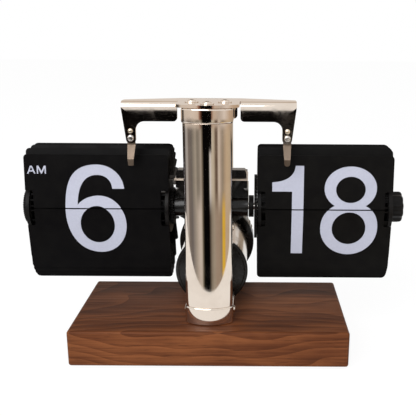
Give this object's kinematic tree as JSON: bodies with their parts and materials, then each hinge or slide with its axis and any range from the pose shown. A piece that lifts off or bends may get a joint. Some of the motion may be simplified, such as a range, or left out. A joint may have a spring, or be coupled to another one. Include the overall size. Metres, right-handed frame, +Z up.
{
  "type": "flip clock",
  "caption": "Desk flip clock: an hour drum and a minute drum of hinged leaves on a chromed column over a wooden base, with a battery tube behind.",
  "frame": {"origin": "centre of the underside of the felt sheet", "axes": "+X to the right along the drums, +Y to the back along the battery tube, +Z up"},
  "size_m": [0.2044, 0.102, 0.136],
  "materials": {
    "walnut": "oiled walnut, grain along the width",
    "felt": "felt",
    "chrome": "polished plate",
    "steel": "turned and pressed steel",
    "spring_metal": "bright spring strip",
    "brass": "turned brass",
    "gloss_black": "moulded, glossy",
    "disc_black": "moulded, satin",
    "leaf_black": "satin sheet",
    "print": "pale film numerals",
    "cell_jacket": "plain jacket with no lettering"
  },
  "bodies": {
    "stand": {"felt_sheet": "felt", "wood_base": "walnut", "column_foot": "chrome", "column_tube": "chrome", "column_cap": "chrome", "top_plate": "chrome", "plate_screw_left": "chrome", "plate_screw_right": "chrome", "plate_screw_front": "chrome", "foot_screw_left": "chrome", "foot_screw_right": "chrome", "column_screw_left": "chrome", "column_screw_right": "chrome", "finger_left": "spring_metal", "finger_right": "spring_metal", "finger_screw_left": "steel", "finger_screw_right": "steel", "finger_rivet_left": "brass", "finger_rivet_right": "brass", "movement_case": "gloss_black", "movement_cover": "gloss_black", "movement_plate": "steel", "top_block": "gloss_black", "motor": "steel", "battery_saddle": "gloss_black", "battery_front_cap": "gloss_black", "battery_tube": "chrome", "battery_rear_ring": "gloss_black", "battery_spring": "spring_metal", "hour_leaf_lower": "leaf_black", "hour_leaf_pack": "leaf_black", "minute_leaf_lower": "leaf_black", "minute_leaf_pack": "leaf_black", "hour_six_lower": "print", "minute_one_lower": "print", "minute_eight_lower": "print"},
    "minute_drum": {"minute_shaft": "steel", "minute_wheel": "disc_black", "minute_disc_inner": "disc_black", "minute_disc_outer": "disc_black", "minute_sleeve": "disc_black", "time_knob": "disc_black"},
    "hour_drum": {"hour_shaft": "steel", "hour_wheel": "disc_black", "hour_disc_inner": "disc_black", "hour_disc_outer": "disc_black", "hour_sleeve": "disc_black", "hour_setting_wheel": "disc_black"},
    "transfer": {"transfer_gear": "brass"},
    "motor_rotor": {"motor_pinion": "brass"},
    "hour_falling": {"hour_leaf_falling": "leaf_black", "hour_six_upper": "print", "letter_a": "print", "letter_m": "print"},
    "minute_falling": {"minute_leaf_falling": "leaf_black", "minute_one_upper": "print", "minute_eight_upper": "print"},
    "cover": {"battery_cover": "gloss_black"},
    "cell": {"battery_cell": "cell_jacket"}
  },
  "joints": [
    {"name": "minute_drum_turn", "type": "hinge", "parent": "stand", "child": "minute_drum", "pos_m": [0, 0.0071, 0.076], "axis": [1, 0, 0], "continuous": true},
    {"name": "hour_drum_turn", "type": "hinge", "parent": "stand", "child": "hour_drum", "pos_m": [0, 0.0071, 0.076], "axis": [1, 0, 0], "continuous": true},
    {"name": "transfer_gear_turn", "type": "hinge", "parent": "stand", "child": "transfer", "pos_m": [0, 0.0191, 0.076], "axis": [1, 0, 0], "continuous": true},
    {"name": "motor_turn", "type": "hinge", "parent": "stand", "child": "motor_rotor", "pos_m": [0, 0.02594, 0.07095], "axis": [1, 0, 0], "continuous": true},
    {"name": "hour_leaf_fall", "type": "hinge", "parent": "stand", "child": "hour_falling", "pos_m": [0, -0.00562, 0.07867], "axis": [1, 0, 0], "range_deg": [0, 150], "deforming": ["finger_left"]},
    {"name": "minute_leaf_fall", "type": "hinge", "parent": "stand", "child": "minute_falling", "pos_m": [0, -0.00562, 0.07867], "axis": [1, 0, 0], "range_deg": [0, 150], "deforming": ["finger_right"]},
    {"name": "battery_cover_slide", "type": "slide", "parent": "stand", "child": "cover", "axis": [0, 1, 0], "range_m": [0, 0.075]},
    {"name": "battery_cell_slide", "type": "slide", "parent": "stand", "child": "cell", "axis": [0, 1, 0], "range_m": [0, 0.075]}
  ],
  "couplings": [
    {"joint": "hour_drum_turn", "follows": "minute_drum_turn", "ratio": 0.041667},
    {"joint": "transfer_gear_turn", "follows": "minute_drum_turn", "ratio": -0.16667},
    {"joint": "motor_turn", "follows": "minute_drum_turn", "ratio": -6.5},
    {"joint": "battery_cell_slide", "follows": "battery_cover_slide", "ratio": 1}
  ]
}
